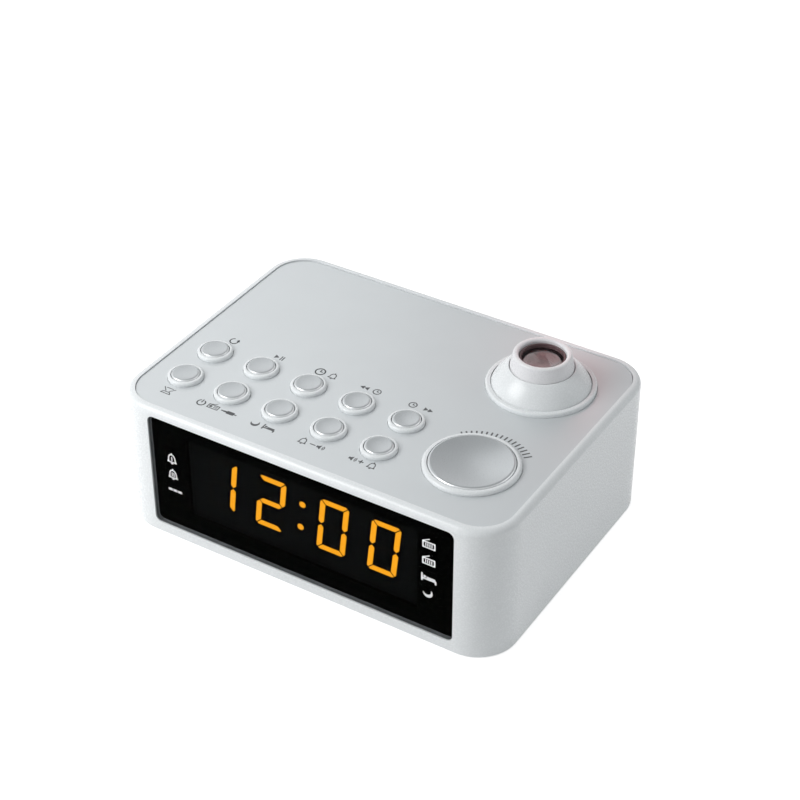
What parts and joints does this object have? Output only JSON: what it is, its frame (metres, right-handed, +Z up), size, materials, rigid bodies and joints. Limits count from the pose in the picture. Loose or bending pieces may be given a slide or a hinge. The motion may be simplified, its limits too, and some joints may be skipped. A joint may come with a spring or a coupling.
{
  "type": "projection clock radio",
  "caption": "Rounded white tabletop clock radio with a smoked LED display window, round top keys, a large snooze key and a swivelling ceiling projector.",
  "frame": {"origin": "centre of the footprint, on the surface the rubber feet stand on", "axes": "+X along the display to the user's right, +Y to the back, +Z up"},
  "size_m": [0.16, 0.117, 0.0698],
  "materials": {
    "white_shell": "smooth white moulded ABS, satin gloss",
    "silver_panel": "silver sprayed, very fine grain",
    "foot_rubber": "matt black",
    "screw_steel": "zinc plated",
    "smoked_window": "smoked acrylic, polished",
    "mask_black": "matt black",
    "display_black": "matt black",
    "segment_lit": "amber light pipe, lit",
    "segment_dark": "smoked light pipe, unlit",
    "board_green": "solder masked circuit board",
    "switch_black": "moulded black",
    "tin_shield": "tin plated sheet",
    "chip_black": "moulded epoxy",
    "capacitor_sleeve": "shrink sleeve",
    "jack_black": "moulded black",
    "gland_rubber": "matt black",
    "speaker_steel": "pressed sheet, dark",
    "speaker_paper": "pressed paper cone",
    "magnet_ferrite": "ferrite",
    "cell_jacket": "plain printed jacket",
    "contact_steel": "nickel plated spring steel",
    "inner_black": "moulded black",
    "key_silver": "silver sprayed, satin",
    "plunger_black": "moulded black",
    "lcd_glass": "liquid crystal cell",
    "lens_glass": "polished acrylic lens",
    "led_red": "red diffused epoxy",
    "barrel_white": "smooth white, satin gloss",
    "cell_black": "matt black"
  },
  "bodies": {
    "case": {"cabinet": "white_shell", "top_panel": "silver_panel", "bottom_cover": "white_shell", "rubber_feet": "foot_rubber", "case_screws": "screw_steel", "display_window": "smoked_window", "display_mask": "mask_black", "led_display": "display_black", "segments_lit": "segment_lit", "segments_dark": "segment_dark", "display_board": "board_green", "key_board": "board_green", "tact_switches": "switch_black", "main_board": "board_green", "board_screws": "screw_steel", "tuner_shield": "tin_shield", "main_chip": "chip_black", "capacitors": "capacitor_sleeve", "dc_jack": "jack_black", "aux_jack": "jack_black", "aerial_gland": "gland_rubber", "speaker_frame": "speaker_steel", "speaker_cone": "speaker_paper", "speaker_magnet": "magnet_ferrite", "backup_cells": "cell_jacket", "cell_contacts": "contact_steel", "projector_ring": "white_shell", "swivel_retainer": "inner_black"},
    "battery_door": {"battery_door": "white_shell"},
    "key_a1_body": {"key_a1": "key_silver", "plunger_a1": "plunger_black"},
    "key_a2_body": {"key_a2": "key_silver", "plunger_a2": "plunger_black"},
    "key_a3_body": {"key_a3": "key_silver", "plunger_a3": "plunger_black"},
    "key_a4_body": {"key_a4": "key_silver", "plunger_a4": "plunger_black"},
    "key_a5_body": {"key_a5": "key_silver", "plunger_a5": "plunger_black"},
    "key_b1_body": {"key_b1": "key_silver", "plunger_b1": "plunger_black"},
    "key_b2_body": {"key_b2": "key_silver", "plunger_b2": "plunger_black"},
    "key_b3_body": {"key_b3": "key_silver", "plunger_b3": "plunger_black"},
    "key_b4_body": {"key_b4": "key_silver", "plunger_b4": "plunger_black"},
    "key_b5_body": {"key_b5": "key_silver", "plunger_b5": "plunger_black"},
    "snooze_body": {"snooze_key": "key_silver", "snooze_plunger": "plunger_black"},
    "cradle_body": {"swivel_cradle": "inner_black"},
    "head_body": {"projector_head": "white_shell", "lcd_slide": "lcd_glass", "condenser_lens": "lens_glass", "led_holder": "inner_black", "projector_led": "led_red"},
    "barrel_body": {"focus_barrel": "barrel_white"},
    "lens_body": {"lens_cell": "cell_black", "projection_lens": "lens_glass"}
  },
  "joints": [
    {"name": "key_a1_press", "type": "slide", "parent": "case", "child": "key_a1_body", "axis": [0, 0, -1], "range_m": [0, 0.0005], "stiffness_N_per_m": 300, "springref_m": -0.001},
    {"name": "key_a2_press", "type": "slide", "parent": "case", "child": "key_a2_body", "axis": [0, 0, -1], "range_m": [0, 0.0005], "stiffness_N_per_m": 300, "springref_m": -0.001},
    {"name": "key_a3_press", "type": "slide", "parent": "case", "child": "key_a3_body", "axis": [0, 0, -1], "range_m": [0, 0.0005], "stiffness_N_per_m": 300, "springref_m": -0.001},
    {"name": "key_a4_press", "type": "slide", "parent": "case", "child": "key_a4_body", "axis": [0, 0, -1], "range_m": [0, 0.0005], "stiffness_N_per_m": 300, "springref_m": -0.001},
    {"name": "key_a5_press", "type": "slide", "parent": "case", "child": "key_a5_body", "axis": [0, 0, -1], "range_m": [0, 0.0005], "stiffness_N_per_m": 300, "springref_m": -0.001},
    {"name": "key_b1_press", "type": "slide", "parent": "case", "child": "key_b1_body", "axis": [0, 0, -1], "range_m": [0, 0.0005], "stiffness_N_per_m": 300, "springref_m": -0.001},
    {"name": "key_b2_press", "type": "slide", "parent": "case", "child": "key_b2_body", "axis": [0, 0, -1], "range_m": [0, 0.0005], "stiffness_N_per_m": 300, "springref_m": -0.001},
    {"name": "key_b3_press", "type": "slide", "parent": "case", "child": "key_b3_body", "axis": [0, 0, -1], "range_m": [0, 0.0005], "stiffness_N_per_m": 300, "springref_m": -0.001},
    {"name": "key_b4_press", "type": "slide", "parent": "case", "child": "key_b4_body", "axis": [0, 0, -1], "range_m": [0, 0.0005], "stiffness_N_per_m": 300, "springref_m": -0.001},
    {"name": "key_b5_press", "type": "slide", "parent": "case", "child": "key_b5_body", "axis": [0, 0, -1], "range_m": [0, 0.0005], "stiffness_N_per_m": 300, "springref_m": -0.001},
    {"name": "snooze_press", "type": "slide", "parent": "case", "child": "snooze_body", "axis": [0, 0, -1], "range_m": [0, 0.0005], "stiffness_N_per_m": 300, "springref_m": -0.001},
    {"name": "battery_door_hinge", "type": "hinge", "parent": "case", "child": "battery_door", "pos_m": [-0.017, 0.0049, 0.0014], "axis": [1, 0, 0], "range_deg": [0, 90]},
    {"name": "projector_swivel", "type": "hinge", "parent": "case", "child": "cradle_body", "pos_m": [0.0491, 0.0277, 0.0485], "axis": [0, 0, 1], "range_deg": [-90, 90]},
    {"name": "projector_tilt", "type": "hinge", "parent": "cradle_body", "child": "head_body", "pos_m": [0.0491, 0.0277, 0.0485], "axis": [1, 0, 0], "range_deg": [-18, 18]},
    {"name": "focus_turn", "type": "hinge", "parent": "head_body", "child": "barrel_body", "pos_m": [0.0491, 0.0277, 0.062], "axis": [0, 0, 1], "range_deg": [-60, 60]},
    {"name": "lens_shift", "type": "slide", "parent": "head_body", "child": "lens_body", "axis": [0, 0, 1], "range_m": [-0.0008, 0.0008]}
  ],
  "couplings": [
    {"joint": "focus_turn", "follows": "lens_shift", "rad_per_m": 1308.9}
  ]
}
